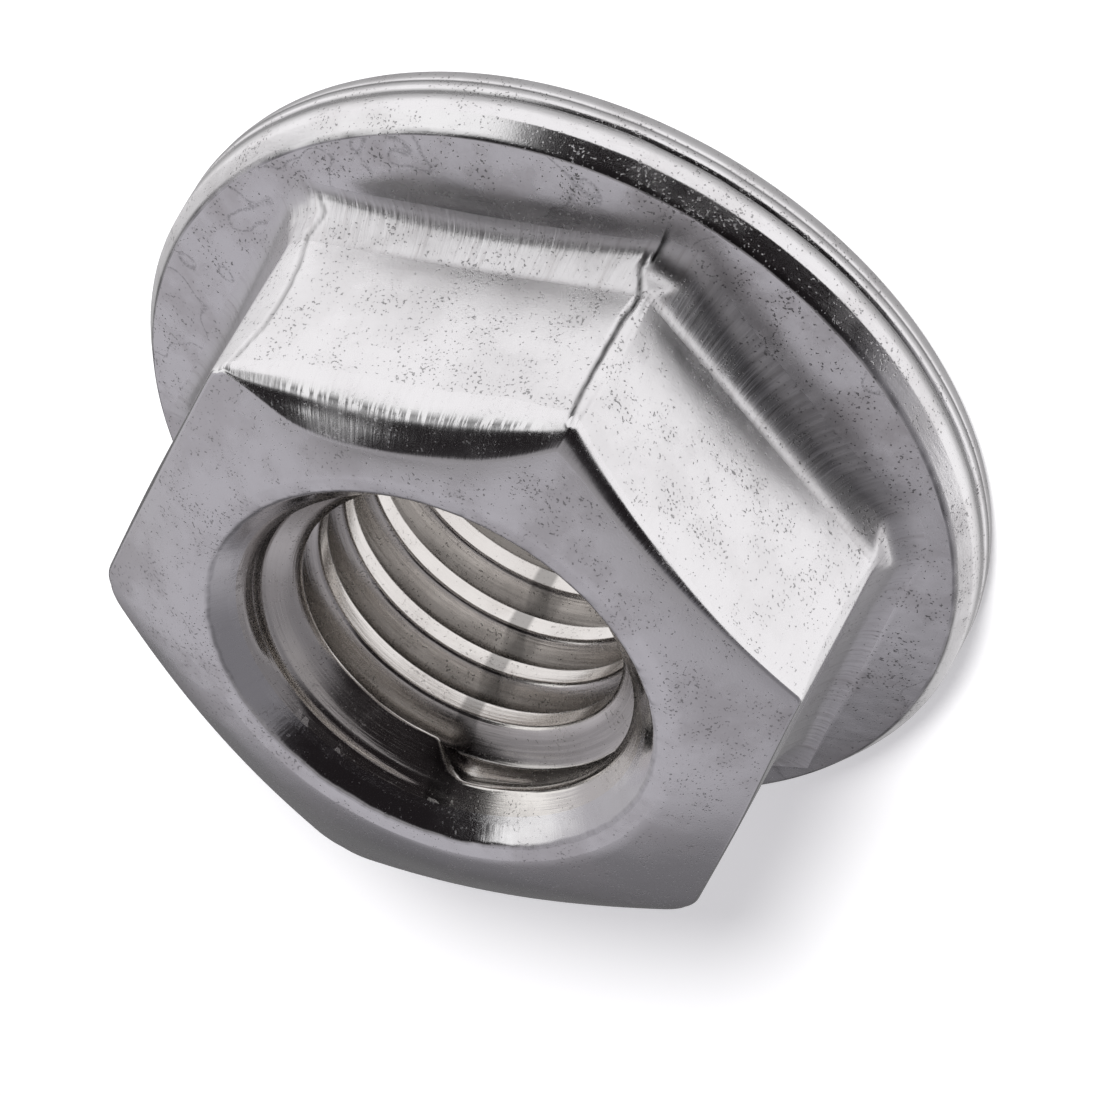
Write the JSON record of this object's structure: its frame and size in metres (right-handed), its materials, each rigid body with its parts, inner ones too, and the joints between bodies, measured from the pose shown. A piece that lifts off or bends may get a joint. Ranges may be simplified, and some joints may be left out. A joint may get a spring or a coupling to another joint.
{
  "type": "hex flange nut",
  "caption": "Cold-formed stainless hexagon nut with a wide integral washer flange, a rounded grooved rim and a threaded bore.",
  "frame": {"origin": "centre of the bearing face, on the thread axis, with the nut standing on its flange", "axes": "+Z along the thread axis, from the bearing face to the hexagon's end; two opposite corners of the hexagon lie on the Y axis, so two opposite flats face along +X and -X"},
  "size_m": [0.0178, 0.0178, 0.0078],
  "materials": {
    "bare_steel": "satin, bare, tumbled after forming"
  },
  "bodies": {
    "root": {"flange_nut": "bare_steel"}
  },
  "joints": []
}
